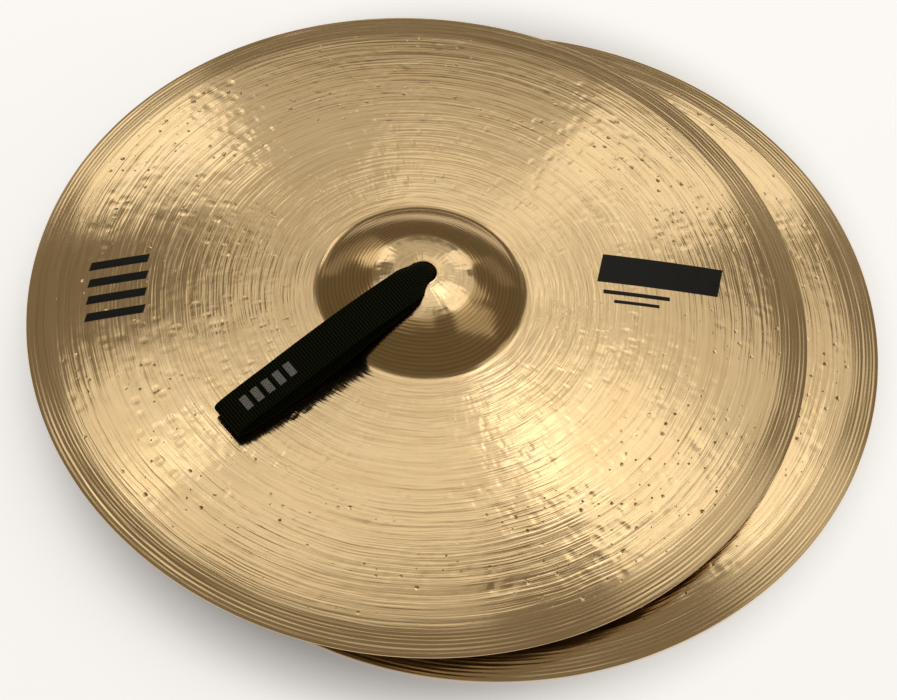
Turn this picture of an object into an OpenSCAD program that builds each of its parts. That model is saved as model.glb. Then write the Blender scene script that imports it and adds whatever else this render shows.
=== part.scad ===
// Pair of bell-up hand cymbals, one lying on the other, each with a web grip strap.
// Millimetres, +Z up, origin at the middle of the pair's outline on the surface it lies on.

/* [Plates] */
// Outer diameter of each plate
plate_d = 508; // [460:2:560]
// Height from the rim's rest face to the crown of the bell
plate_h = 51; // [46:0.5:58]
// Width of the steeper band along the rim
band_w = 18; // [12:1:26]
// Height that the rim band climbs
band_rise = 5.6; // [4:0.1:8]
// Diameter of the bell where it meets the bow
bell_d = 134; // [120:1:150]
// Height of the bell above its foot
bell_rise = 22; // [18:0.5:26]
// Radius of the hollow blend around the foot of the bell
blend_r = 12; // [8:1:20]
// Diameter of the strap hole through the crown
hole_d = 17; // [17:0.5:20]

/* [Metal] */
// Thickness at the rim
rim_t = 0.9; // [0.7:0.1:1.4]
// Thickness at the top of the rim band
band_t = 1.0; // [0.8:0.1:1.6]
// Thickness at the foot of the bell
foot_t = 1.2; // [0.9:0.1:1.8]
// Thickness at the crown
crown_t = 1.6; // [1.2:0.1:2.2]
// Width of the flat ring under the rim
rest_w = 2; // [1:0.5:4]

/* [How the pair lies] */
// Distance between the two plate centres, left to right
shift_x = -47.6; // [-60:0.1:-44]
// Distance between the two plate centres, front to back
shift_y = -2.2; // [-6:0.1:6]
// Height of the upper plate's rim centre above the lower one's
raise = 26.6; // [26.6:0.1:40]
// Tilt of the upper plate
tilt = 3.2; // [0:0.1:3.2]
// Direction in which the upper plate slopes down
tilt_dir = 27.4; // [0:0.1:90]

/* [Straps] */
// Width of the webbing
web_w = 25.4; // [20:0.2:28]
// Thickness of the webbing
web_t = 1.7; // [1.2:0.1:2]
// Distance from the hole to the far end of a grip loop
reach = 161; // [130:1:170]
// Height of the fold at the far end of the upper grip loop
upper_fold_h = 14; // [12:0.5:18]
// Height of the fold at the far end of the lower grip loop
lower_fold_h = 12; // [8:0.5:13]
// How far the upper grip loop's top web sinks towards the bell
upper_sag = 1; // [0:0.5:4]
// How far the lower grip loop's top web sinks towards the bell
lower_sag = 8; // [6:0.5:12]
// Direction in which the upper strap lies
upper_dir = 218; // [0:1:359]
// How far to one side of its hole the upper grip loop lies
upper_side = 10; // [0:0.5:12]
// Direction in which the lower strap lies
lower_dir = 232; // [226:1:238]

/* [Anchor under the bell] */
// Diameter of the leather washer
washer_d = 40; // [34:1:46]
// Thickness of the leather washer
washer_t = 3; // [2:0.5:4]
// Diameter of the hardwood toggle
toggle_d = 8; // [6:0.5:9]
// Length of the hardwood toggle
toggle_l = 36; // [30:1:40]
// Length of the sewn web ends below the toggle
tail_l = 11; // [8:0.5:12]

/* [Hidden] */

rim_r = plate_d / 2;
band_r = rim_r - band_w;
foot_r = bell_d / 2;
hole_r = hole_d / 2;
foot_z = plate_h - bell_rise;
band_z = rim_t + band_rise;

// Centre of the pair's outline, seen from above, which the origin sits at
half_x = rim_r * sqrt(1 - pow(sin(tilt) * cos(tilt_dir), 2));
half_y = rim_r * sqrt(1 - pow(sin(tilt) * sin(tilt_dir), 2));
home_x = -(min(-rim_r, shift_x - half_x) + max(rim_r, shift_x + half_x)) / 2;
home_y = -(min(-rim_r, shift_y - half_y) + max(rim_r, shift_y + half_y)) / 2;

// Radius of the round root that a grip loop folds about, and the gap around it
root_r = 5;
root_gap = 0.3;
root_rise = 4;
root_z = plate_h + root_rise;
root_w = 14.6;
// Length over which the web opens from the hole's width to its full width
flare_from = 7;
upper_flare_to = 22;
lower_flare_to = 36;
// Distance from the hole at which the two webs part
open_from = 20;
// Gap under the bottom web over the hole's edge, and under the fold
mouth_gap = 1.3;
fold_gap = 1.2;
// Point beside the bell's crown that the bottom web's curve leans towards
lean_r = foot_r * 0.8;
lean_drop = 3.5;

// Radius of the bundled web in the hole, and the slit between its two layers
neck_r = 7.4;
neck_slit = 0.6;
neck_top = plate_h - 0.6;

// Arc of the bell's underside, which the washer is dished to
under_z = plate_h - crown_t;
under_foot_z = foot_z - foot_t;
dome_c = arc_c(0, under_z, foot_r, under_foot_z);
// Play between the anchor's pieces, and between the toggle and the web around it
fit_gap = 0.2;
toggle_gap = 0.1;
dome_r = under_z - dome_c - fit_gap;
eye_r = toggle_d / 2 + toggle_gap + web_t;
// The eye hangs just under the washer's lower face, and the tail under the eye
eye_top = dome_c + sqrt(pow(dome_r - washer_t, 2) - pow(web_w / 2, 2)) - fit_gap;
toggle_z = eye_top - eye_r;
tail_z = toggle_z - eye_r - tail_l;

// Thread of the bar tack, its distance from the web, and the row of stitches
thread_d = 0.8;
thread_gap = 0.02;
tack_count = 9;
tack_w = 18;
tack_h = 5;

// Steps around a whole plate, around a small round piece, and around a thread
plate_steps = 240;
round_steps = 48;
thread_steps = 16;
// How far a cutter passes beyond what it cuts
over = 1;

// A skin is a surface of revolution, given by the heights of its crown, foot,
// band top and rim, the radius of its rim, and the radius of its blend
top_skin = [plate_h, foot_z, band_z, rim_t, rim_r, blend_r];
under_skin = [under_z, under_foot_z, band_z - band_t, 0, rim_r - rest_w, blend_r + foot_t];

// Height on the axis of the centre of an arc through two points
function arc_c(r1, z1, r2, z2) = (z1 * z1 + r1 * r1 - z2 * z2 - r2 * r2) / (2 * (z1 - z2));

// Height of a skin at radius r: bell arc, hollow blend, bow arc, straight band
function skin_z(r, s) =
    let (
        bow_c = arc_c(foot_r, s[1], band_r, s[2]),
        bow_r = norm([foot_r, s[1] - bow_c]),
        bell_c = arc_c(0, s[0], foot_r, s[1]),
        bell_r = s[0] - bell_c,
        a = bow_r + s[5],
        b = bell_r + s[5],
        d = bell_c - bow_c,
        blend_z = bow_c + (a * a - b * b + d * d) / (2 * d),
        blend_x = sqrt(a * a - pow(blend_z - bow_c, 2))
    )
    r < blend_x * bell_r / b ? bell_c + sqrt(bell_r * bell_r - r * r)
    : r < blend_x * bow_r / a ? blend_z - sqrt(s[5] * s[5] - pow(r - blend_x, 2))
    : r < band_r ? bow_c + sqrt(bow_r * bow_r - r * r)
    : r < s[4] ? s[3] + (s[2] - s[3]) * (s[4] - r) / (s[4] - band_r)
    : s[3];

// Radii at which the skins are drawn, closer together around the foot of the bell
near_foot = 12;
crown_steps = 19;
foot_steps = 20;
bow_steps = 48;
stations = concat(
    [for (i = [0:crown_steps - 1]) hole_r + (foot_r - near_foot - hole_r) * i / crown_steps],
    [for (i = [0:foot_steps - 1]) foot_r - near_foot + 2 * near_foot * i / foot_steps],
    [for (i = [0:bow_steps]) foot_r + near_foot + (band_r - foot_r - near_foot) * i / bow_steps]
);

// Point at t along a curve from a to c that leans towards b
function lean(a, b, c, t) = (1 - t) * (1 - t) * a + 2 * t * (1 - t) * b + t * t * c;
curve_steps = 12;

module plate() {
    last = len(stations) - 1;
    color("#c9a35c")
        rotate_extrude($fn = plate_steps)
            polygon(concat(
                [for (r = stations) [r, skin_z(r, top_skin)]],
                [[rim_r, rim_t], [rim_r, 0], [rim_r - rest_w, 0]],
                [for (i = [0:last]) [stations[last - i], skin_z(stations[last - i], under_skin)]]
            ));
}

// Side outline of a grip loop, shrunk by inset: top web, fold and bottom web
module loop_outline(fold_h, sag, inset) {
    fold_r = fold_h / 2;
    fold_x = reach - fold_r;
    fold_z = skin_z(fold_x, top_skin) + fold_gap + fold_r;
    top_start = [0, root_z + root_r - inset];
    top_lean = [reach / 3, root_z + root_r - sag - inset];
    top_end = [fold_x, fold_z + fold_r - inset];
    low_start = [0, plate_h + mouth_gap + inset];
    low_lean = [lean_r, plate_h - lean_drop + inset];
    low_end = [fold_x, fold_z - fold_r + inset];
    polygon(concat(
        [for (i = [0:curve_steps]) lean(top_start, top_lean, top_end, i / curve_steps)],
        [for (a = [75:-15:-75]) [fold_x, fold_z] + (fold_r - inset) * [cos(a), sin(a)]],
        [for (i = [0:curve_steps]) lean(low_end, low_lean, low_start, i / curve_steps)]
    ));
}

// Prism across the web's width, from a side outline
module across(width) {
    rotate([90, 0, 0])
        linear_extrude(width, center = true)
            children();
}

// The web loop, lying to one side of its hole by side, at its full width from flare_to on
module grip_loop(fold_h, sag, side, flare_to) {
    near_edge = side - web_w / 2;
    far_edge = side + web_w / 2;
    span = web_w + 2 * side;
    color("#1b1b1d")
        intersection() {
            difference() {
                union() {
                    across(span)
                        loop_outline(fold_h, sag, 0);
                    translate([0, 0, root_z])
                        rotate([90, 0, 0])
                            cylinder(h = web_w, r = root_r, center = true, $fn = round_steps);
                }
                intersection() {
                    across(span + 2 * over)
                        loop_outline(fold_h, sag, web_t);
                    translate([open_from, -span, 0])
                        cube([reach, 2 * span, plate_h * 2]);
                }
            }
            linear_extrude(plate_h * 2)
                polygon([
                    [-root_r - over, -root_w / 2], [flare_from, -root_w / 2], [flare_to, near_edge],
                    [reach + over, near_edge], [reach + over, far_edge], [flare_to, far_edge],
                    [flare_from, root_w / 2], [-root_r - over, root_w / 2]
                ]);
        }
}

// Web bundled in the hole, the eye that its ends make around the toggle, and their sewn tail
module strap_neck() {
    color("#1b1b1d")
        difference() {
            union() {
                translate([0, 0, toggle_z])
                    cylinder(h = neck_top - toggle_z, r = neck_r, $fn = round_steps);
                translate([0, 0, toggle_z])
                    rotate([90, 0, 0])
                        cylinder(h = web_w, r = eye_r, center = true, $fn = round_steps);
                translate([-web_t, -web_w / 2, tail_z])
                    cube([2 * web_t, web_w, toggle_z - tail_z]);
            }
            translate([0, 0, toggle_z])
                rotate([90, 0, 0])
                    cylinder(h = toggle_l, r = toggle_d / 2 + toggle_gap, center = true, $fn = round_steps);
            translate([0, 0, root_z])
                rotate([90, 0, 0])
                    cylinder(h = toggle_l, r = root_r + root_gap, center = true, $fn = round_steps);
            translate([-neck_slit / 2, -web_w, toggle_z])
                cube([neck_slit, 2 * web_w, plate_h]);
            difference() {
                translate([-neck_r - over, -neck_r - over, toggle_z - neck_r])
                    cube([2 * (neck_r + over), 2 * (neck_r + over), neck_r + toggle_d / 2]);
                translate([0, 0, toggle_z])
                    rotate([90, 0, 0])
                        cylinder(h = toggle_l, r = eye_r, center = true, $fn = round_steps);
                translate([-web_t, -web_w, tail_z - over])
                    cube([2 * web_t, 2 * web_w, toggle_z - tail_z]);
            }
        }
}

// Leather disc that is dished to the underside of the bell
module washer() {
    color("#5b3a24")
        translate([0, 0, dome_c])
            rotate_extrude($fn = 2 * round_steps)
                intersection() {
                    difference() {
                        circle(r = dome_r, $fn = plate_steps);
                        circle(r = dome_r - washer_t, $fn = plate_steps);
                    }
                    translate([hole_r, dome_r - washer_d / 2])
                        square([washer_d / 2 - hole_r, washer_d]);
                }
}

module toggle() {
    color("#b58a52")
        translate([0, 0, toggle_z])
            rotate([90, 0, 0])
                cylinder(h = toggle_l, r = toggle_d / 2, center = true, $fn = round_steps);
}

// Row of upright stitches on both faces of the tail
module bar_tack() {
    color("#2e2e30")
        for (side = [-1, 1], i = [0:tack_count - 1])
            translate([
                side * (web_t + thread_d / 2 + thread_gap),
                tack_w * (i / (tack_count - 1) - 0.5),
                (tail_z + toggle_z - eye_r - tack_h) / 2
            ])
                cylinder(h = tack_h, d = thread_d, $fn = thread_steps);
}

// Where each cymbal lies
module place_lower() {
    translate([home_x, home_y, 0])
        children();
}

module place_upper() {
    translate([home_x + shift_x, home_y + shift_y, raise])
        rotate(a = tilt, v = [-sin(tilt_dir), cos(tilt_dir), 0])
            children();
}

// The same for the pieces that turn with a strap
module along_lower() {
    place_lower()
        rotate(lower_dir)
            children();
}

module along_upper() {
    place_upper()
        rotate(upper_dir)
            children();
}

place_lower() plate();  // lower_plate
place_upper() plate();  // upper_plate
along_lower() grip_loop(lower_fold_h, lower_sag, 0, lower_flare_to);  // lower_grip_loop
along_upper() grip_loop(upper_fold_h, upper_sag, upper_side, upper_flare_to);  // upper_grip_loop
along_lower() strap_neck();  // lower_strap_neck
along_upper() strap_neck();  // upper_strap_neck
place_lower() washer();  // lower_washer
place_upper() washer();  // upper_washer
along_lower() toggle();  // lower_toggle
along_upper() toggle();  // upper_toggle
along_lower() bar_tack();  // lower_bar_tack
along_upper() bar_tack();  // upper_bar_tack
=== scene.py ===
import math

import bpy
import numpy as np
from mathutils import Matrix, Vector


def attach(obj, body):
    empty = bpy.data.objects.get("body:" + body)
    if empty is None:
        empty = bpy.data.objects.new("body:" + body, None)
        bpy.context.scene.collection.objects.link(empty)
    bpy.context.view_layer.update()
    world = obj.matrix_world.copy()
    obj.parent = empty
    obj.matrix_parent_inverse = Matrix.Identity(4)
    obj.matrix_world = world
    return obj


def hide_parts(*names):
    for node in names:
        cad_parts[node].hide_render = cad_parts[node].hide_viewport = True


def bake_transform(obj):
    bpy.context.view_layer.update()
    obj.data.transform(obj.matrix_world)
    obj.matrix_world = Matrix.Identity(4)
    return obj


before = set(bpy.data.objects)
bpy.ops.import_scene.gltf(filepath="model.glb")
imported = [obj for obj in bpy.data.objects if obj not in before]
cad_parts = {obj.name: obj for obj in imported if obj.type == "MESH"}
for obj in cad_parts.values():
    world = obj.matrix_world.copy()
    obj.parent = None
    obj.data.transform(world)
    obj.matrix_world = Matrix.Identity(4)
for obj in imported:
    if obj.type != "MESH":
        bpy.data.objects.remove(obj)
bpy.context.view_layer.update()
MM = 0.001

# ---------------------------------------------------------------- dimensions
# The same values as the part's source, in millimetres.
BAND_R = 236.0
FOOT_R = 67.0
HOLE_R = 8.5
HOME = (23.644, 1.058)
SHIFT = (-47.6, -2.2)
RAISE = 26.6
TILT = math.radians(3.2)
TILT_DIR = math.radians(27.4)
WEB_W = 25.4
WEB_T = 1.7
RIB = 2.03  # pitch of the web's cross ribs
TOGGLE_Z = 39.47
TOGGLE_R = 4.0
TOGGLE_L = 36.0
TAIL_Z = 22.67
WASHER_R = 20.0
WASHER_T = 3.0
# Skins: heights of crown, foot, band top and rim, rim radius, blend radius
TOP = (51.0, 29.0, 6.5, 0.9, 254.0, 12.0)
UNDER = (49.4, 27.8, 5.5, 0.0, 252.0, 13.2)
# The washer lies against the inside of the bell: that sphere's centre, and the washer's upper radius
WASHER_C = -65.31
WASHER_TOP = 114.51
FULL_TURN = 2 * math.pi


def skin(r, s):
    """Height at radius r of a skin s, given as TOP or UNDER, all in millimetres."""
    r = np.asarray(r, float)

    def arc_c(r1, z1, r2, z2):
        return (z1 * z1 + r1 * r1 - z2 * z2 - r2 * r2) / (2 * (z1 - z2))

    bow_c = arc_c(FOOT_R, s[1], BAND_R, s[2])
    bow_r = math.hypot(FOOT_R, s[1] - bow_c)
    bell_c = arc_c(0, s[0], FOOT_R, s[1])
    bell_r = s[0] - bell_c
    a, b, d = bow_r + s[5], bell_r + s[5], bell_c - bow_c
    blend_z = bow_c + (a * a - b * b + d * d) / (2 * d)
    blend_x = math.sqrt(a * a - (blend_z - bow_c) ** 2)
    bell = bell_c + np.sqrt(np.maximum(bell_r ** 2 - r * r, 0))
    hollow = blend_z - np.sqrt(np.maximum(s[5] ** 2 - (r - blend_x) ** 2, 0))
    bow = bow_c + np.sqrt(np.maximum(bow_r ** 2 - r * r, 0))
    band = s[3] + (s[2] - s[3]) * (s[4] - r) / (s[4] - BAND_R)
    return np.where(
        r < blend_x * bell_r / b, bell,
        np.where(r < blend_x * bow_r / a, hollow,
                 np.where(r < BAND_R, bow, np.where(r < s[4], band, s[3]))))


def smooth(a, b, x):
    t = np.clip((np.asarray(x, float) - a) / (b - a), 0, 1)
    return t * t * (3 - 2 * t)


# ---------------------------------------------------------------- placement
def turn_z(degrees):
    return Matrix.Rotation(math.radians(degrees), 4, "Z")


LOWER = Matrix.Translation((HOME[0], HOME[1], 0.0))
UPPER = Matrix.Translation((HOME[0] + SHIFT[0], HOME[1] + SHIFT[1], RAISE)) @ Matrix.Rotation(
    TILT, 4, Vector((-math.sin(TILT_DIR), math.cos(TILT_DIR), 0)))
# Directions in which the straps lie, in degrees, and how far the upper one lies beside its hole
UPPER_DIR = 218.0
UPPER_SIDE = 10.0
LOWER_DIR = 232.0


def put(points, place):
    """Local millimetres to metres in the shared frame."""
    m = np.array(place)
    p = np.asarray(points, float)
    return (p @ m[:3, :3].T + m[:3, 3]) * MM


# ---------------------------------------------------------------- mesh helpers
def make_mesh(name, verts, quads, uv=None, material=None, extra=None):
    me = bpy.data.meshes.new(name)
    faces = [tuple(int(i) for i in q if i >= 0) for q in quads]
    me.from_pydata([tuple(v) for v in np.asarray(verts, float)], [], faces)
    if uv is not None:
        layer = me.uv_layers.new(name="Plate")
        idx = np.empty(len(me.loops), np.int32)
        me.loops.foreach_get("vertex_index", idx)
        layer.data.foreach_set("uv", np.asarray(uv, np.float32)[idx].ravel())
    for key, values in (extra or {}).items():
        att = me.attributes.new(key, "FLOAT", "POINT")
        att.data.foreach_set("value", np.asarray(values, np.float32))
    me.polygons.foreach_set("use_smooth", np.ones(len(me.polygons), bool))
    me.update()
    ob = bpy.data.objects.new(name, me)
    bpy.context.scene.collection.objects.link(ob)
    if material:
        me.materials.append(material)
    return ob


def ring_quads(rings, steps, first=0, closed=True):
    """Quads between consecutive rings of the same number of points."""
    out = []
    span = steps if closed else steps - 1
    j = np.arange(span)
    k = (j + 1) % steps
    for i in range(rings - 1):
        a = first + i * steps
        b = a + steps
        out.append(np.stack([a + j, a + k, b + k, b + j], 1))
    return np.concatenate(out)


def revolve(profile, steps):
    """Points of a closed profile of (r, z) turned about Z, and its quads."""
    th = np.arange(steps) * 2 * math.pi / steps
    pts = []
    for r, z in profile:
        pts.append(np.stack([r * np.cos(th), r * np.sin(th), np.full(steps, z)], 1))
    n = len(profile)
    quads = [ring_quads(n, steps)]
    j = np.arange(steps)
    k = (j + 1) % steps
    a = (n - 1) * steps
    quads.append(np.stack([a + j, a + k, k, j], 1))
    return np.concatenate(pts), np.concatenate(quads)


# ---------------------------------------------------------------- node helper
class Graph:
    def __init__(self, name):
        self.mat = bpy.data.materials.new(name)
        self.mat.use_nodes = True
        self.nt = self.mat.node_tree
        self.nt.nodes.clear()

    def new(self, kind, values=(), **props):
        n = self.nt.nodes.new(kind)
        for k, v in props.items():
            setattr(n, k, v)
        for k, v in dict(values).items():
            sock = n.inputs[k]
            if isinstance(v, bpy.types.NodeSocket):
                self.nt.links.new(v, sock)
            else:
                sock.default_value = v
        return n

    def math(self, op, a, b=0.0, c=0.0):
        return self.new("ShaderNodeMath", {0: a, 1: b, 2: c}, operation=op).outputs[0]

    def add(self, a, b):
        return self.math("ADD", a, b)

    def sub(self, a, b):
        return self.math("SUBTRACT", a, b)

    def mul(self, a, b):
        return self.math("MULTIPLY", a, b)

    def step(self, x, a, b):
        """0 below a, 1 above b, smooth between."""
        values = {0: x, 1: a, 2: b, 3: 0.0, 4: 1.0}
        return self.new("ShaderNodeMapRange", values, interpolation_type="SMOOTHSTEP").outputs[0]

    def window(self, x, a, b, c, d):
        return self.mul(self.step(x, a, b), self.sub(1.0, self.step(x, c, d)))

    def vec(self, x, y, z):
        return self.new("ShaderNodeCombineXYZ", {0: x, 1: y, 2: z}).outputs[0]

    def split(self, vector):
        return self.new("ShaderNodeSeparateXYZ", {0: vector}).outputs

    def plate_mm(self):
        """The mesh's own flat coordinates, from its UV map, in millimetres."""
        uv = self.new("ShaderNodeUVMap", uv_map="Plate").outputs[0]
        scale = (1000.0, 1000.0, 0.0)
        return self.new("ShaderNodeVectorMath", {0: uv, 1: scale}, operation="MULTIPLY").outputs[0]

    def object_mm(self):
        place = self.new("ShaderNodeTexCoord").outputs["Object"]
        scale = (1000.0, 1000.0, 1000.0)
        return self.new("ShaderNodeVectorMath", {0: place, 1: scale}, operation="MULTIPLY").outputs[0]

    def noise(self, vector, scale, detail=2.0, rough=0.5, distortion=0.0):
        values = {"Vector": vector, "Scale": scale, "Detail": detail, "Roughness": rough,
                  "Distortion": distortion}
        return self.new("ShaderNodeTexNoise", values).outputs[0]

    def mix(self, fac, a, b):
        """Colour a where fac is 0, b where it is 1."""
        return self.new("ShaderNodeMix", {0: fac, 6: a, 7: b}, data_type="RGBA").outputs[2]

    def mixf(self, fac, a, b):
        """Number a where fac is 0, b where it is 1."""
        return self.new("ShaderNodeMix", {0: fac, 2: a, 3: b}, data_type="FLOAT").outputs[0]

    def bump(self, height):
        """A normal from a height in millimetres."""
        return self.new("ShaderNodeBump", {"Height": height, "Strength": 1.0, "Distance": MM}).outputs[0]

    def union(self, masks):
        """The masks joined into one."""
        joined = masks[0]
        for mask in masks[1:]:
            joined = self.math("MAXIMUM", joined, mask)
        return joined

    def out(self, shader):
        o = self.new("ShaderNodeOutputMaterial")
        self.nt.links.new(shader, o.inputs[0])
        return self.mat


# ---------------------------------------------------------------- bronze
def bronze(name, seed, marks):
    """Turned and hammered bronze, with printed marks that are given as masks."""
    g = Graph(name)
    mm = g.plate_mm()
    r = g.new("ShaderNodeVectorMath", {0: mm}, operation="LENGTH").outputs["Value"]
    x, y = g.split(mm)[:2]
    safe = g.math("MAXIMUM", r, 1.0)
    cx, cy = g.math("DIVIDE", x, safe), g.math("DIVIDE", y, safe)

    def around(k, f, dz):
        """Coordinates that run k round the plate and f per millimetre across it."""
        return g.vec(g.add(g.mul(cx, k), dz), g.mul(cy, k), g.add(g.mul(r, f), dz * 3.1))

    flat = g.vec(x, y, seed * 17.3)
    sheet = g.new("ShaderNodeVectorMath", {0: mm, 1: (seed * 131.0, seed * 57.0, 0.0)}).outputs[0]

    # Turned grooves, from broad to fine, each stronger in some arcs than in others
    wander = g.mul(g.sub(g.noise(flat, 0.03, 1.0), 0.5), 2.2)
    rw = g.add(r, wander)
    main = g.noise(g.vec(g.mul(cx, 2.2), g.mul(cy, 2.2), g.mul(rw, 0.52)), 1.0, 1.5, 0.6)
    broad = g.noise(g.vec(g.mul(cx, 0.7), g.mul(cy, 0.7), g.add(g.mul(rw, 0.2), seed)), 1.0, 1.0, 0.5)
    fine = g.noise(g.vec(g.mul(cx, 7.0), g.mul(cy, 7.0), g.mul(r, 1.9)), 1.0, 1.0, 0.5)
    patch = g.noise(around(2.3, 0.03, seed + 2.0), 1.0, 2.0)
    band = g.step(r, 229.0, 241.0)
    bell = g.sub(1.0, g.step(r, 64.0, 70.0))
    cup = g.sub(1.0, g.step(r, 28.0, 33.0))
    bow = g.mul(g.step(r, 66.0, 76.0), g.sub(1.0, band))
    flank = g.window(r, 30.0, 36.0, 72.0, 82.0)
    ring = g.math("SINE", g.add(g.mul(rw, FULL_TURN / 2.3), g.mul(main, 2.4)))
    edge_ring = g.math("SINE", g.add(g.mul(r, FULL_TURN / 2.5), g.mul(broad, 5.0)))

    inner = g.window(r, 66.0, 74.0, 96.0, 135.0)
    bow_amp = g.mul(bow, g.add(g.add(0.12, g.mul(inner, 0.06)), g.mul(patch, 0.20)))
    h = g.mul(g.sub(main, 0.5), g.add(bow_amp, g.add(g.mul(band, 0.15), g.mul(bell, 0.05))))
    h = g.add(h, g.mul(g.sub(broad, 0.5), g.mul(g.add(bow, g.mul(band, 0.7)), 0.10)))
    h = g.add(h, g.mul(g.sub(fine, 0.5), g.add(0.008, g.mul(g.sub(1.0, bell), 0.021))))
    h = g.add(h, g.mul(ring, g.mul(flank, g.add(0.003, g.mul(g.step(patch, 0.3, 0.7), 0.010)))))
    h = g.add(h, g.mul(edge_ring, g.mul(band, 0.016)))

    # Hammering: dents stretched across the rings, and small sharp pits nearer the rim
    dent_values = {"Vector": around(20.0, 0.085, seed), "Scale": 1.0, "Randomness": 0.9}
    dent = g.new("ShaderNodeTexVoronoi", dent_values, feature="F1", voronoi_dimensions="3D")
    dent_h = g.mul(g.sub(1.0, g.step(dent.outputs[0], 0.05, 0.42)), -0.13)
    swell = g.mul(g.sub(g.noise(around(9.0, 0.055, seed), 1.0, 2.0), 0.5), 0.46)
    uneven = g.add(0.26, g.mul(g.step(patch, 0.38, 0.60), 0.74))
    zone = g.mul(g.window(r, 72.0, 98.0, 226.0, 238.0), uneven)
    h = g.add(h, g.mul(g.add(dent_h, swell), zone))
    ragged = g.new("ShaderNodeTexNoise", {"Vector": sheet, "Scale": 0.45, "Detail": 1.0})
    shove_values = {0: ragged.outputs[1], 1: (1.7, 1.7, 0.0), 2: sheet}
    shove = g.new("ShaderNodeVectorMath", shove_values, operation="MULTIPLY_ADD")
    pit_values = {"Vector": shove.outputs[0], "Scale": 1 / 8.5, "Randomness": 1.0}
    pit = g.new("ShaderNodeTexVoronoi", pit_values, feature="F1", voronoi_dimensions="2D")
    cell = g.new("ShaderNodeSeparateColor", {0: pit.outputs[1]}).outputs
    chosen = g.step(cell[0], 0.52, 0.60)
    pit_zone = g.mul(g.window(r, 140.0, 185.0, 232.0, 238.0), g.step(patch, 0.38, 0.52))
    reach = g.add(0.05, g.mul(g.mul(cell[1], cell[1]), 0.15))
    from_pit = g.math("SMOOTH_MIN", g.math("DIVIDE", pit.outputs[0], reach), 1.0, 0.3)
    pits = g.mul(g.mul(g.sub(1.0, from_pit), chosen), pit_zone)
    h = g.sub(h, g.mul(pits, g.add(0.22, g.mul(cell[2], 0.32))))
    # Facets that fan out from the hole over the top of the bell
    fan = g.noise(g.vec(g.mul(cx, 5.0), g.mul(cy, 5.0), g.mul(r, 0.05)), 1.0, 1.0)
    h = g.add(h, g.mul(g.sub(fan, 0.5), g.mul(cup, g.mul(r, 0.014))))

    # Colour: pale gold with faint rings, browner in the pits, and with painted shade over the bell's flank
    # that is deepest in its grooves
    tone = g.noise(around(0.8, 0.07, seed + 5.0), 1.0, 3.0, 0.6)
    base = g.mix(tone, (0.86, 0.615, 0.312, 1), (0.96, 0.745, 0.44, 1))
    line = g.step(main, 0.56, 0.36)
    base = g.mix(g.mul(line, 0.22), base, (0.50, 0.31, 0.12, 1))
    # Painted shade: the bell's flank is mixed 0.60 toward dark brown all over, for the dark room it reflects,
    # and up to 0.82 in its ring grooves
    low = g.mul(g.mul(flank, bell), g.add(0.60, g.mul(g.step(ring, 0.2, -0.9), 0.22)))
    base = g.mix(low, base, (0.42, 0.25, 0.085, 1))
    base = g.mix(g.mul(pits, g.add(0.15, g.mul(cell[2], 0.60))), base, (0.20, 0.11, 0.045, 1))
    # The inner face is painted a patchy dark brown, a painted shade that keeps the gap between the plates
    # dark, and it is duller than the turned outer face
    inner_face = g.new("ShaderNodeAttribute", attribute_name="Under").outputs["Fac"]
    gap_shade_patches = g.noise(around(1.6, 0.02, seed + 9.0), 1.0, 3.0, 0.6)
    # Painted shade: the inner face is mixed 0.72 to 0.94 toward dark brown
    base = g.mix(g.mul(inner_face, g.add(0.72, g.mul(gap_shade_patches, 0.22))), base, (0.125, 0.070, 0.027, 1))
    smudge = g.noise(flat, 0.012, 3.0)
    rough = g.add(0.085, g.mul(smudge, 0.07))
    rough = g.add(rough, g.mul(inner_face, 0.14))
    rough = g.add(rough, g.mul(band, 0.03))
    rough = g.add(rough, g.mul(g.noise(around(9.0, 1.9, 1.0), 1.0, 2.0), 0.04))

    ink = g.mul(g.union([mark(g, x, y) for mark in marks]), g.sub(1.0, inner_face))
    normal = g.bump(h)
    tangent = g.new("ShaderNodeTangent", direction_type="RADIAL", axis="Z").outputs[0]
    metal = g.new("ShaderNodeBsdfPrincipled", {
        "Base Color": base, "Roughness": rough, "Metallic": 1.0, "Anisotropic": 0.40,
        "Anisotropic Rotation": 0.25, "Normal": normal, "Tangent": tangent})
    ink_tone = g.mix(g.noise(flat, 0.3, 2.0), (0.004, 0.0035, 0.0015, 1), (0.009, 0.0075, 0.0035, 1))
    print_coat = g.new("ShaderNodeBsdfPrincipled", {
        "Base Color": ink_tone, "Roughness": g.add(0.30, g.mul(smudge, 0.15)), "Specular IOR Level": 0.22,
        "Normal": g.bump(g.mul(h, 0.5))})
    both = {0: ink, 1: metal.outputs[0], 2: print_coat.outputs[0]}
    return g.out(g.new("ShaderNodeMixShader", both).outputs[0])


def bar(cx, cy, half_w, half_h, degrees, slant=0.0):
    """A plain printed bar, centred at (cx, cy) on the plate, as a mask with a soft edge."""
    soft = 0.12

    def mask(g, x, y):
        c, s = math.cos(math.radians(degrees)), math.sin(math.radians(degrees))
        dx, dy = g.sub(x, cx), g.sub(y, cy)
        u = g.add(g.mul(dx, c), g.mul(dy, s))
        v = g.add(g.mul(dx, -s), g.mul(dy, c))
        u = g.sub(u, g.mul(v, slant))
        inside_u = g.sub(1.0, g.step(g.math("ABSOLUTE", u), half_w - soft, half_w + soft))
        inside_v = g.sub(1.0, g.step(g.math("ABSOLUTE", v), half_h - soft, half_h + soft))
        return g.mul(inside_u, inside_v)
    return mask


# ---------------------------------------------------------------- plates
STEPS = 480
STEP_ANGLE = FULL_TURN / STEPS


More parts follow.
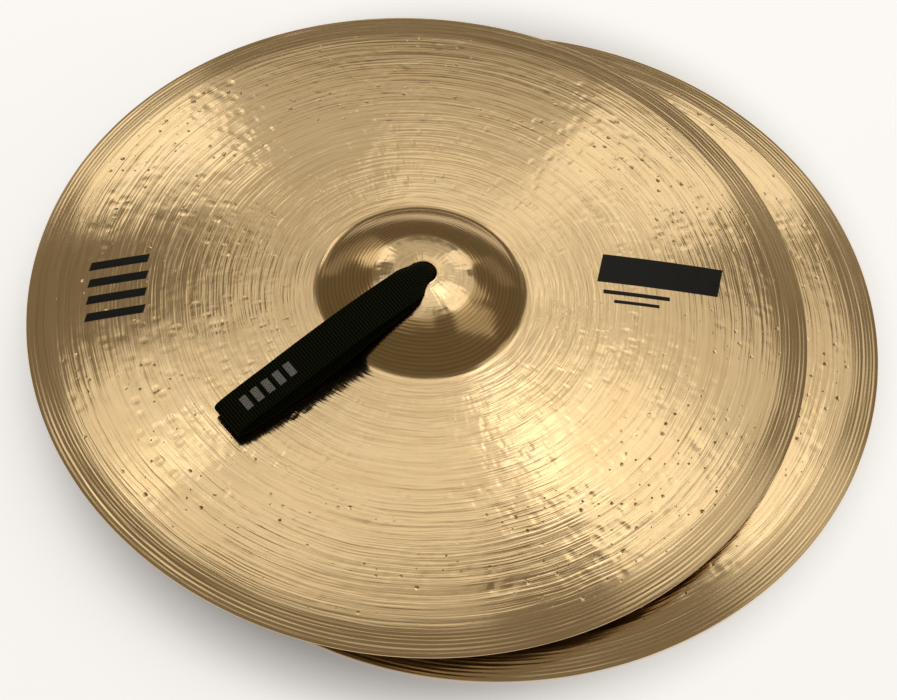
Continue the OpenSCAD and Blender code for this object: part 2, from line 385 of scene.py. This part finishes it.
def plate(name, place, seed, material):
    """A plate turned from its two skins, with the lathe's steps and the hammer's dents in its outer face."""
    rng = np.random.default_rng(seed)
    top_r = np.concatenate([
        [8.9, 9.8], np.linspace(11.5, 58.0, 34, endpoint=False), np.linspace(58.0, 78.0, 18, endpoint=False),
        np.linspace(78.0, 235.0, 82, endpoint=False), np.linspace(235.0, 253.4, 34)])
    th = np.arange(STEPS) * 2 * math.pi / STEPS
    R, T = np.meshgrid(top_r, th, indexing="ij")
    Z = skin(R, TOP)

    # Broad turned steps in the rim band, each of its own width and depth
    relief = np.zeros_like(top_r)
    edge = BAND_R - 2.0
    while edge < 252.4:
        width = rng.uniform(1.7, 3.0)
        t = np.clip((top_r - edge) / width, 0, 1)
        relief -= rng.uniform(0.04, 0.12) * np.sin(math.pi * t) ** 1.5
        edge += width
    # The bow's slow waves across the radius, and the rings that edge the bell's cup
    bow_in = smooth(78, 100, top_r) * (1 - smooth(228, 236, top_r))
    for _ in range(9):
        pitch = rng.uniform(7, 26)
        height = rng.uniform(0.004, 0.011)
        relief += bow_in * height * np.sin(2 * math.pi * top_r / pitch + rng.uniform(0, 6.3))
    relief -= 0.05 * np.exp(-((top_r - 30.5) / 1.3) ** 2)
    relief += 0.03 * np.exp(-((top_r - 33.5) / 1.4) ** 2)
    # The corner between bow and band is eased
    corner = np.clip(6.0 - np.abs(top_r - BAND_R), 0, None)
    relief -= 0.1 * corner ** 2 / 24
    Z = Z + relief[:, None]

    # Hammer blows, laid in rings with their own scatter
    ring_r = 84.0
    while ring_r < 228.0:
        count = int(2 * math.pi * ring_r / rng.uniform(11.0, 16.0))
        start = rng.uniform(0, 6.3)
        for k in range(count):
            if rng.random() < 0.25:
                continue
            rc = ring_r + rng.normal(0, 2.4)
            tc = (start + 2 * math.pi * (k + rng.uniform(-0.3, 0.3)) / count) % (2 * math.pi)
            size = rng.uniform(3.2, 6.4)
            deep = rng.uniform(0.02, 0.10)
            rows = np.where(np.abs(top_r - rc) < 3 * size)[0]
            if len(rows) == 0:
                continue
            reach = int(3 * size / rc / STEP_ANGLE) + 1
            mid = int(round(tc / STEP_ANGLE))
            cols = np.arange(mid - reach, mid + reach + 1) % STEPS
            dr = (top_r[rows] - rc)[:, None]
            dt = (((th[cols] - tc + math.pi) % (2 * math.pi)) - math.pi)[None, :] * rc
            dent = deep * np.exp(-(dr * dr + dt * dt * 0.7) / (2 * size * size / 4))
            Z[np.ix_(rows, cols)] -= dent
        ring_r += rng.uniform(7.0, 11.0)

    top = np.stack([R * np.cos(T), R * np.sin(T), Z], -1).reshape(-1, 3)
    rim = [(253.75, 0.86), (253.95, 0.70), (254.0, 0.45), (253.97, 0.18), (253.8, 0.03)]
    under_r = np.concatenate([
        np.linspace(252.0, 236.0, 5), np.linspace(232.0, 80.0, 10), np.linspace(76.0, 58.0, 7),
        np.linspace(53.0, 8.9, 8)])
    hole_wall = [(HOLE_R + 0.05, 49.55), (HOLE_R, 50.2), (HOLE_R + 0.05, 50.8)]
    lower_rings = rim + [(r, float(skin(r, UNDER))) for r in under_r] + hole_wall
    low = np.concatenate([
        np.stack([r * np.cos(th), r * np.sin(th), np.full(STEPS, z)], 1) for r, z in lower_rings])
    local = np.concatenate([top, low])
    rings = len(top_r) + len(lower_rings)
    quads = ring_quads(rings, STEPS)
    j = np.arange(STEPS)
    k = (j + 1) % STEPS
    a = (rings - 1) * STEPS
    quads = np.concatenate([quads, np.stack([a + j, a + k, k, j], 1)])[:, ::-1]
    under = np.zeros(len(local))
    under[(len(top_r) + len(rim)) * STEPS:] = 1.0
    return make_mesh(name, put(local, place), quads, uv=local[:, :2] * MM, material=material,
                     extra={"Under": under})


# Plain bars in place of the printed marks, on the plate's own axes
left_marks = [bar(-196.0, 2.0 + 13.5 * i, 19.0, 3.2, 8.0, 0.35) for i in (-1.5, -0.5, 0.5, 1.5)]
right_marks = [
    bar(156.0, 30.0, 40.0, 11.5, 0.0, 0.18), bar(140.0, 11.0, 22.0, 1.6, 0.0),
    bar(140.0, 4.0, 15.0, 1.3, 0.0)]
bronze_lower = bronze("bronze_lower", 3.0, left_marks + right_marks)
bronze_upper = bronze("bronze_upper", 8.0, left_marks + right_marks)
lower_plate = plate("lower_plate_bronze", LOWER, 11, bronze_lower)
upper_plate = plate("upper_plate_bronze", UPPER, 29, bronze_upper)
for ob, node, body in (
        (lower_plate, "lower_plate", "lower_cymbal"), (upper_plate, "upper_plate", "upper_cymbal")):
    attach(ob, body)
    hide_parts(node)


# ---------------------------------------------------------------- webbing
YARN = 1.8  # pitch of the yarns across the web
FIRST_BAR = 150.0  # distance along the web of the first printed bar
BAR_PITCH = 8.6


def webbing(name, seed):
    """Black plain-woven web: the cross ribs are modelled, and the yarns in them and the bars are material."""
    g = Graph(name)
    s, w = g.split(g.plate_mm())[:2]
    # Yarn across the rib: every second rib is shifted by half a yarn
    rib = g.math("FLOOR", g.math("DIVIDE", s, RIB))
    odd = g.math("MODULO", rib, 2.0)
    yarn = g.math("SINE", g.add(g.mul(w, FULL_TURN / YARN), g.mul(odd, math.pi)))
    wale = g.math("COSINE", g.mul(s, FULL_TURN / RIB))
    strand = g.noise(g.vec(g.mul(s, 1.5), g.mul(w, 9.0), seed), 1.0, 2.0)
    fuzz = g.noise(g.vec(s, w, seed), 2.6, 3.0, 0.7)
    h = g.add(g.mul(yarn, 0.09), g.add(g.mul(strand, 0.05), g.mul(fuzz, 0.03)))
    h = g.add(h, g.mul(wale, 0.03))
    # Painted highlight: the crests of the ribs and yarns are painted lighter, and their troughs near black as
    # painted shade
    painted_crest_highlight = g.mul(g.step(wale, -0.9, 0.9), g.add(0.04, g.mul(g.step(yarn, -0.5, 0.9), 0.96)))
    base = g.mix(painted_crest_highlight, (0.0004, 0.0005, 0.0001, 1), (0.0340, 0.0395, 0.0100, 1))
    base = g.mix(g.mul(g.step(fuzz, 0.55, 0.8), 0.20), base, (0.012, 0.0135, 0.005, 1))
    edge = g.step(g.math("ABSOLUTE", w), 11.3, 12.4)
    base = g.mix(g.mul(edge, 0.4), base, (0.007, 0.008, 0.003, 1))

    # Plain bars in place of the print, worn through where the weave is low
    bars = []
    for i in range(5):
        from_middle = g.math("ABSOLUTE", g.sub(s, FIRST_BAR + BAR_PITCH * i))
        across = g.sub(1.0, g.step(g.math("ABSOLUTE", w), 4.9, 5.2))
        bars.append(g.mul(g.sub(1.0, g.step(from_middle, 2.35, 2.6)), across))
    worn = g.mul(g.union(bars), g.step(g.add(fuzz, g.mul(yarn, 0.12)), 0.28, 0.5))
    base = g.mix(g.mul(worn, 0.9), base, (0.36, 0.355, 0.33, 1))
    web = g.new("ShaderNodeBsdfPrincipled", {
        "Base Color": base, "Roughness": g.add(0.62, g.mul(fuzz, 0.2)), "Normal": g.bump(h),
        "Sheen Weight": 0.005, "Sheen Roughness": 0.5, "Specular IOR Level": 0.05})
    return g.out(web.outputs[0])


def spline(points, spacing):
    """A smooth curve through the points, sampled evenly along its length."""
    p = np.asarray(points, float)
    d = np.concatenate([[0], np.cumsum(np.sqrt(np.linalg.norm(np.diff(p, axis=0), axis=1)))])
    t = np.linspace(0, d[-1], 4000)
    n = len(p)
    # Natural cubic spline, solved for each coordinate
    h = np.diff(d)
    a = np.zeros((n, n))
    a[0, 0] = a[-1, -1] = 1
    for i in range(1, n - 1):
        a[i, i - 1:i + 2] = h[i - 1], 2 * (h[i - 1] + h[i]), h[i]
    out = []
    for c in range(p.shape[1]):
        rhs = np.zeros(n)
        rhs[1:-1] = 6 * ((p[2:, c] - p[1:-1, c]) / h[1:] - (p[1:-1, c] - p[:-2, c]) / h[:-1])
        m = np.linalg.solve(a, rhs)
        i = np.clip(np.searchsorted(d, t) - 1, 0, n - 2)
        u, v = (d[i + 1] - t), (t - d[i])
        out.append(m[i] * u ** 3 / (6 * h[i]) + m[i + 1] * v ** 3 / (6 * h[i])
                   + (p[i, c] / h[i] - m[i] * h[i] / 6) * u + (p[i + 1, c] / h[i] - m[i + 1] * h[i] / 6) * v)
    dense = np.stack(out, 1)
    s = np.concatenate([[0], np.cumsum(np.linalg.norm(np.diff(dense, axis=0), axis=1))])
    count = int(round(s[-1] / spacing))
    even = np.linspace(0, s[-1], count + 1)
    return np.stack([np.interp(even, s, dense[:, c]) for c in range(dense.shape[1])], 1), s[-1]


RIB_DEPTH = 0.17


def strap(name, place, direction, route, material, seed, lie, opened):
    """One length of web: tail, eye, hole, top web, fold, bottom web, hole, eye, tail.

    lie is how far the loop lies to one side, and opened is where it has its full width, in millimetres."""
    rng = np.random.default_rng(seed)
    path, length = spline(route, RIB / 4)
    n = len(path)
    s = np.linspace(0, length, n)
    tan = np.gradient(path, axis=0)
    tan /= np.linalg.norm(tan, axis=1, keepdims=True)
    nor = np.stack([-tan[:, 1], tan[:, 0]], 1)
    far = int(np.argmax(path[:, 0]))
    # In the hole the top web curls into a C, and the bottom web rolls up inside it
    z, u = path[:, 1], path[:, 0]
    first = np.arange(n) <= far
    rise = smooth(42.5, 46.5, z)
    along = np.where(first, 1 - smooth(-6, opened, u), 1 - smooth(48.6, 52.0, z))
    # Above the hole the bottom web is pleated under the top one, and opens to its full width
    pleat = np.where(first, 0.0, 0.42 * (1 - smooth(8, opened + 2, u)) * (1 - along))
    clear = np.maximum(smooth(50.5, 54.5, z), smooth(8, 14, u))
    shift = lie * (0.6 * smooth(-2, 24, u) * clear + 0.4 * np.clip(u / 120, 0, 1))
    by_hole = np.abs(u) < 60
    radius = np.where(first, 7.0, 4.95)
    kappa = np.where(by_hole & (first | (u < 12)), rise * along / radius, 0.0)
    kappa = np.maximum(kappa, 1e-5)
    half = WEB_W / 2
    side = np.concatenate([[-1.0], -np.cos(np.linspace(0, math.pi, 13))[1:-1] * 0.995, [1.0]])
    side = np.sign(side) * np.abs(side) ** 0.8
    rib = 0.5 + 0.5 * np.cos(2 * math.pi * s / RIB)
    wob = np.interp(s, np.linspace(0, length, 40), rng.normal(0, 0.10, 40))
    sections = []
    uvs = []
    for face in (1, -1):
        for w in (side if face == 1 else side[::-1]):
            ww = (w * half + wob * (1 - w * w)) * (1 - pleat)
            thick = WEB_T / 2 - RIB_DEPTH + RIB_DEPTH * rib
            thick = thick * (1 - 0.55 * smooth(0.93, 1.0, abs(w)))
            # The curl turns the face's own normal with it
            nx, ny = np.cos(kappa * ww), np.sin(kappa * ww)
            across = ny / kappa
            back = (1 - nx) / kappa
            off = face * thick
            du = nor[:, 0] * (-back + off * nx)
            dz = nor[:, 1] * (-back + off * nx)
            dv = across + off * ny + shift
            # Where it leaves the hole the web rides up on the lip
            mid_r = np.hypot(u - nor[:, 0] * back, across + shift)
            mid_z = z - nor[:, 1] * back
            on_lip = skin(mid_r, TOP) + WEB_T / 2 + 0.12
            reached = smooth(7.2, 8.8, mid_r) * smooth(46.8, 48.2, mid_z) * (mid_r < 30)
            lift = reached * np.maximum(on_lip - mid_z, 0)
            sections.append(np.stack([u + du, dv, z + dz + lift], 1))
            uvs.append(np.stack([s, np.full(n, w * half)], 1))
    pts = np.stack(sections, 1)
    m = pts.shape[1]
    uv = np.stack(uvs, 1).reshape(-1, 2) * MM
    verts = pts.reshape(-1, 3)
    quads = ring_quads(n, m)
    caps = []
    for base, flip in ((0, False), ((n - 1) * m, True)):
        half_m = m // 2
        for i in range(half_m - 1):
            q = [base + i, base + i + 1, base + m - 2 - i, base + m - 1 - i]
            caps.append(q[::-1] if flip else q)
    quads = np.concatenate([quads, np.array(caps)])
    spot = place @ turn_z(direction)
    ob = make_mesh(name, put(verts, spot), quads, uv=uv, material=material)
    return ob, length


def route(top, fold, low):
    """The web's centreline beside the plate's axis, with the given runs out and back."""
    up = [(-0.87, TAIL_Z + 0.3), (-0.87, 28.0), (-0.87, 32.2), (-2.4, 34.9), (-4.45, 37.0), (-4.95, 39.5),
          (-4.9, 42.0), (-5.7, 45.8), (-5.9, 49.6), (-5.4, 51.9), (-3.2, 54.4), (2.0, 56.4)]
    down = [(4.95, 50.0), (4.85, 46.5), (4.8, 43.0), (4.95, 39.5), (4.45, 37.0), (2.4, 34.9),
            (0.87, 32.2), (0.87, 28.0), (0.87, TAIL_Z + 0.3)]
    return up + list(top) + list(fold) + list(low) + down


upper_route = route(
    [(12.0, 57.9), (40.0, 56.2), (80.0, 50.4), (120.0, 42.0), (140.0, 36.6), (154.0, 32.3)],
    [(158.6, 30.0), (159.7, 27.8), (158.4, 25.4), (154.0, 24.0), (147.0, 23.6)],
    [(120.0, 27.0), (80.0, 35.0), (50.0, 44.2), (30.0, 49.6), (14.0, 52.4), (7.6, 52.6)])
lower_route = route(
    [(12.0, 56.9), (40.0, 52.4), (80.0, 44.0), (120.0, 37.4), (144.0, 33.6)],
    [(155.0, 31.2), (159.6, 27.9), (157.6, 24.6), (152.0, 23.2), (145.0, 23.4)],
    [(120.0, 27.4), (80.0, 35.0), (50.0, 44.2), (30.0, 49.6), (14.0, 52.3), (7.6, 52.4)])

web_upper = webbing("webbing_upper", 1.7)
web_lower = webbing("webbing_lower", 5.1)
upper_strap, upper_len = strap(
    "upper_web_strap", UPPER, UPPER_DIR, upper_route, web_upper, 5, UPPER_SIDE, 24.0)
lower_strap, lower_len = strap(
    "lower_web_strap", LOWER, LOWER_DIR, lower_route, web_lower, 6, 0.0, 38.0)
for ob, who, place, turn in (
        (upper_strap, "upper", UPPER, UPPER_DIR), (lower_strap, "lower", LOWER, LOWER_DIR)):
    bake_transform(ob)
    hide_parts(who + "_grip_loop", who + "_strap_neck")


# ---------------------------------------------------------------- leather washers
def leather(name):
    g = Graph(name)
    mm = g.object_mm()
    pore_values = {"Vector": mm, "Scale": 1.1, "Randomness": 1.0}
    pores = g.new("ShaderNodeTexVoronoi", pore_values, feature="DISTANCE_TO_EDGE")
    crease = g.noise(mm, 0.5, 4.0, 0.6)
    fibre = g.noise(mm, 4.0, 3.0, 0.7)
    grain = g.mul(g.step(pores.outputs[0], 0.0, 0.25), 0.06)
    h = g.add(grain, g.add(g.mul(crease, 0.18), g.mul(fibre, 0.03)))
    base = g.mix(crease, (0.10, 0.045, 0.02, 1), (0.26, 0.13, 0.06, 1))
    base = g.mix(g.mul(g.step(fibre, 0.5, 0.8), 0.4), base, (0.34, 0.19, 0.10, 1))
    leather_coat = g.new("ShaderNodeBsdfPrincipled", {
        "Base Color": base, "Roughness": g.add(0.45, g.mul(fibre, 0.25)), "Normal": g.bump(h),
        "Specular IOR Level": 0.4})
    return g.out(leather_coat.outputs[0])


def washer(name, place, material):
    """A dished ring under the bell, with eased edges and a tooled line near the outer one."""
    outer, inner = WASHER_TOP, WASHER_TOP - WASHER_T
    ease = 0.7
    edge = WASHER_R - ease
    prof = []

    def at(r, rad):
        return (r, WASHER_C + math.sqrt(rad * rad - r * r))

    for r in np.linspace(HOLE_R + 0.35, edge, 12):
        prof.append(at(r, outer))
    for a in (0.25, 0.55, 0.85, 1.15):
        turn = a * math.pi / 2 / 1.15
        prof.append(at(edge + ease * math.sin(turn), outer - ease * (1 - math.cos(turn))))
    for a in (0.0, 0.3, 0.65, 1.0):
        turn = a * math.pi / 2
        prof.append(at(edge + ease * math.cos(turn), inner + ease * (1 - math.sin(turn))))
    for r in np.linspace(WASHER_R - 1.6, HOLE_R + 0.35, 16):
        dip = 0.22 * math.exp(-((r - WASHER_R + 2.6) / 0.45) ** 2)
        prof.append(at(r, inner + dip))
    prof.append(at(HOLE_R + 0.05, inner + 0.35))
    prof.append(at(HOLE_R + 0.05, outer - 0.35))
    pts, quads = revolve(prof, 96)
    return make_mesh(name, put(pts, place), quads[:, ::-1], material=material)


hide = leather("washer_hide")
for who, place in (("lower", LOWER), ("upper", UPPER)):
    ob = washer(who + "_leather_washer", place, hide)
    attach(ob, who + "_anchor")
    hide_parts(who + "_washer")


# ---------------------------------------------------------------- turned toggles
def hardwood(name):
    g = Graph(name)
    a, s = g.split(g.plate_mm())[:2]
    grain = g.noise(g.vec(g.mul(a, 1.3), g.mul(s, 0.16), 0.0), 1.0, 3.0, 0.6, distortion=0.4)
    pore = g.noise(g.vec(g.mul(a, 7.0), g.mul(s, 0.7), 3.0), 1.0, 2.0)
    base = g.mix(grain, (0.34, 0.17, 0.065, 1), (0.66, 0.42, 0.20, 1))
    base = g.mix(g.mul(g.step(pore, 0.58, 0.7), 0.6), base, (0.20, 0.09, 0.03, 1))
    h = g.add(g.mul(grain, 0.03), g.mul(g.step(pore, 0.7, 0.55), 0.03))
    rough = g.add(0.34, g.mul(pore, 0.25))
    oiled = g.new("ShaderNodeBsdfPrincipled", {"Base Color": base, "Roughness": rough, "Normal": g.bump(h)})
    return g.out(oiled.outputs[0])


def toggle(name, place, direction, material):
    """A turned peg with domed ends and a groove near each."""
    half = TOGGLE_L / 2
    dome_r, dome_h = TOGGLE_R - 0.2, 2.2
    prof = []
    for a in np.linspace(0, math.pi / 2, 7):
        prof.append((max(0.02, dome_r * math.sin(a)), -half + dome_h * (1 - math.cos(a))))
    for t in np.linspace(-half + 2.6, half - 2.6, 41):
        r = TOGGLE_R - 0.03
        for groove in (-half + 4.6, half - 4.6):
            r -= 0.45 * math.exp(-((t - groove) / 0.5) ** 2)
        prof.append((r, t))
    for a in np.linspace(math.pi / 2, 0, 7):
        prof.append((max(0.02, dome_r * math.sin(a)), half - dome_h * (1 - math.cos(a))))
    steps = 40
    th = np.arange(steps) * 2 * math.pi / steps
    pts = np.concatenate([
        np.stack([r * np.cos(th), np.full(steps, t), r * np.sin(th) + TOGGLE_Z], 1) for r, t in prof])
    uv = np.concatenate([
        np.stack([np.abs(th - math.pi) * TOGGLE_R, np.full(steps, t)], 1) for r, t in prof]) * MM
    near_cap = np.arange(steps)[::-1]
    far_cap = (len(prof) - 1) * steps + np.arange(steps)
    quads = list(ring_quads(len(prof), steps)) + [near_cap, far_cap]
    return make_mesh(name, put(pts, place @ turn_z(direction)), quads, uv=uv, material=material)


wood = hardwood("toggle_wood_oiled")
for who, place, turn in (("lower", LOWER, LOWER_DIR), ("upper", UPPER, UPPER_DIR)):
    ob = toggle(who + "_turned_toggle", place, turn, wood)
    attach(ob, who + "_anchor")
    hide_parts(who + "_toggle")


# ---------------------------------------------------------------- stitching
def thread_material(name):
    g = Graph(name)
    mm = g.object_mm()
    x, y, z = g.split(mm)[:3]
    twist = g.math("SINE", g.mul(g.add(z, g.mul(g.add(x, y), 0.9)), FULL_TURN / 0.55))
    fuzz = g.noise(mm, 6.0, 2.0)
    base = g.mix(g.step(twist, -1.0, 1.0), (0.012, 0.012, 0.013, 1), (0.055, 0.055, 0.06, 1))
    h = g.add(g.mul(twist, 0.04), g.mul(fuzz, 0.03))
    rough = g.add(0.4, g.mul(fuzz, 0.2))
    spun = g.new("ShaderNodeBsdfPrincipled", {"Base Color": base, "Roughness": rough, "Normal": g.bump(h)})
    return g.out(spun.outputs[0])


def tube(points, radius, sides=10):
    """A thread along a smooth line, its ends rounded in."""
    p = np.asarray(points, float)
    n = len(p)
    tan = np.gradient(p, axis=0)
    tan /= np.linalg.norm(tan, axis=1, keepdims=True)
    ref = np.array([1.0, 0.0, 0.0])
    out = []
    for i in range(n):
        a = np.cross(tan[i], ref)
        if np.linalg.norm(a) < 0.2:
            a = np.cross(tan[i], np.array([0.0, 1.0, 0.0]))
        a /= np.linalg.norm(a)
        b = np.cross(tan[i], a)
        end = min(i, n - 1 - i)
        r = radius * (0.15, 0.75, 1.0)[min(end, 2)]
        for k in range(sides):
            c = 2 * math.pi * k / sides
            out.append(p[i] + r * (a * math.cos(c) + b * math.sin(c)))
    return np.array(out), n, sides


def stitching(name, place, direction, material, seed):
    """A bar tack on each side of the web's two tails: ten upright stitches between two rows."""
    rng = np.random.default_rng(seed)
    mid = (TAIL_Z + TOGGLE_Z - 5.8) / 2
    samples = 9
    verts, quads, count = [], [], 0
    for side in (-1, 1):
        x = side * (WEB_T + 0.02)
        rows = [(y, y, mid - 2.5, mid + 2.5) for y in np.linspace(-9, 9, 10)]
        rows += [(a, a + 1.9, z, z) for z in (mid - 2.9, mid + 2.9) for a in np.linspace(-9.2, 7.3, 8)]
        for y0, y1, z0, z1 in rows:
            j = rng.normal(0, 0.12, 2)
            t = np.linspace(0, 1, samples)
            bulge = np.sin(math.pi * t) * 0.34
            line = np.stack([
                np.full(samples, x) + side * bulge, y0 + (y1 - y0) * t + j[0], z0 + (z1 - z0) * t + j[1]], 1)
            pts, n, sides = tube(line, 0.36)
            verts.append(pts)
            quads.append(ring_quads(n, sides, first=count))
            count += len(pts)
    points = put(np.concatenate(verts), place @ turn_z(direction))
    return make_mesh(name, points, np.concatenate(quads), material=material)


thread = thread_material("bonded_thread")
for who, place, turn, seed in (("lower", LOWER, LOWER_DIR, 3), ("upper", UPPER, UPPER_DIR, 4)):
    ob = stitching(who + "_stitching", place, turn, thread, seed)
    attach(ob, who + "_anchor")
    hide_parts(who + "_bar_tack")


# ---------------------------------------------------------------- floor
FLOOR_HALF = 20.0
FLOOR_Z = -0.0006

# The floor glows as painted light: pale round the pair and darker far off, with less glow under the pair as a
# painted shadow
g = Graph("studio_floor")
floor_place = g.new("ShaderNodeTexCoord").outputs["Object"]
tint = g.noise(floor_place, 1.5, 2.0)
away = g.new("ShaderNodeVectorMath", {0: floor_place}, operation="LENGTH").outputs["Value"]
far = g.step(away, 0.45, 1.5)
farther = g.step(away, 1.4, 5.0)
pale = g.mix(tint, (0.86, 0.86, 0.86, 1), (0.89, 0.89, 0.885, 1))
tone = g.mix(farther, g.mix(far, pale, (0.62, 0.61, 0.60, 1)), (0.10, 0.09, 0.075, 1))
surface = g.new("ShaderNodeBsdfDiffuse", {"Color": tone})
strength = g.mixf(farther, g.mixf(far, 0.62, 0.24), 0.17)
# Painted shadow: under the pair the glow falls to 0.15 of its strength
glow = g.mul(strength, g.mixf(g.step(away, 0.225, 0.30), 0.15, 1.0))
glow_tone = g.mix(farther, (1.0, 0.995, 0.985, 1), (1.0, 0.87, 0.68, 1))
light = g.new("ShaderNodeEmission", {"Color": glow_tone, "Strength": glow})
floor_shader = g.new("ShaderNodeAddShader", {0: surface.outputs[0], 1: light.outputs[0]})
corners = [(-1, -1), (1, -1), (1, 1), (-1, 1)]
floor = make_mesh(
    "studio_floor", [(x * FLOOR_HALF, y * FLOOR_HALF, FLOOR_Z) for x, y in corners], [(0, 1, 2, 3)],
    material=g.out(floor_shader.outputs[0]))


# ---------------------------------------------------------------- light
LIGHT_DISTANCE = 2.4
LIGHT_COLOR = (1.0, 0.985, 0.96)


def softbox(name, azimuth, elevation, wide, high, radiance):
    """A rectangular light that covers wide by high degrees, seen from the object.

    Azimuth 0 is behind the object, and it grows to the right."""
    a, e = math.radians(azimuth), math.radians(elevation)
    out = Vector((math.sin(a) * math.cos(e), math.cos(a) * math.cos(e), math.sin(e)))
    w = 2 * LIGHT_DISTANCE * math.tan(math.radians(wide / 2))
    h = 2 * LIGHT_DISTANCE * math.tan(math.radians(high / 2))
    data = bpy.data.lights.new(name, "AREA")
    data.shape = "RECTANGLE"
    data.size, data.size_y = w, h
    data.energy = radiance * math.pi * w * h
    data.color = LIGHT_COLOR
    ob = bpy.data.objects.new(name, data)
    ob.rotation_mode = "QUATERNION"
    ob.rotation_quaternion = out.to_track_quat("Z", "Y")
    ob.location = Vector((0, 0, 0.05)) + out * LIGHT_DISTANCE
    bpy.context.scene.collection.objects.link(ob)


# A wall of diffusers behind the pair, with dark joins that show as fans in the bronze
softbox("zenith", 0, 87, 24, 11, 0.34)
softbox("overhead_strip", -8, 74, 40, 15, 0.68)
softbox("right_upper", 45, 59, 21, 15, 0.98)
softbox("middle_upper", 0, 59, 28, 14, 0.47)
softbox("left_upper", -45, 59, 18, 14, 0.68)
softbox("middle_centre", 10, 45, 15, 14, 0.72)
softbox("right_centre", 40, 45, 27, 14, 0.50)
softbox("left_centre", -10, 45, 13, 14, 0.34)
softbox("right_side", 77, 51, 18, 26, 0.40)
softbox("left_lower", -24, 31, 15, 14, 1.00)
softbox("middle_lower", 0, 31, 28, 14, 0.36)
softbox("right_lower", 24, 31, 14, 14, 0.85)
softbox("left_foot", -32, 17, 28, 12, 0.20)
softbox("right_foot", 40, 17, 18, 12, 0.12)
# Low boxes on the near side, which light the rims and the floor and show in views from behind
softbox("front_a", 180, 20, 30, 16, 0.45)
softbox("front_b", 122, 22, 34, 16, 0.65)
softbox("front_c", -124, 22, 34, 16, 0.55)

world = bpy.data.worlds.new("studio")
world.use_nodes = True
back = world.node_tree.nodes["Background"]
back.inputs[0].default_value = (1.0, 0.86, 0.66, 1)
back.inputs[1].default_value = 0.19
bpy.context.scene.world = world
bpy.context.scene.view_settings.view_transform = "Standard"
bpy.context.scene.view_settings.look = "None"


# ---------------------------------------------------------------- camera
# The camera fitted to the rims: lens, distance and sideways shift in mm, tip and roll in degrees
LENS = 138.46
SENSOR = 36.0
DISTANCE = 2267.8
SHIFT_RIGHT = -4.49
SHIFT_UP = -6.61
tip = math.radians(56.58)
roll = math.radians(1.297)
ahead = Vector((0, math.cos(tip), -math.sin(tip)))
level = Vector((1, 0, 0))
upward = level.cross(ahead)
right = math.cos(roll) * level + math.sin(roll) * upward
above = -math.sin(roll) * level + math.cos(roll) * upward
cam_data = bpy.data.cameras.new("camera")
cam_data.lens = LENS
cam_data.sensor_width = SENSOR
cam_data.sensor_fit = "HORIZONTAL"
cam = bpy.data.objects.new("camera", cam_data)
cam_matrix = Matrix((right, above, -ahead)).transposed().to_4x4()
cam_matrix.translation = (-ahead * DISTANCE + right * SHIFT_RIGHT + above * SHIFT_UP) * MM
cam.matrix_world = cam_matrix
bpy.context.scene.collection.objects.link(cam)
bpy.context.scene.camera = cam
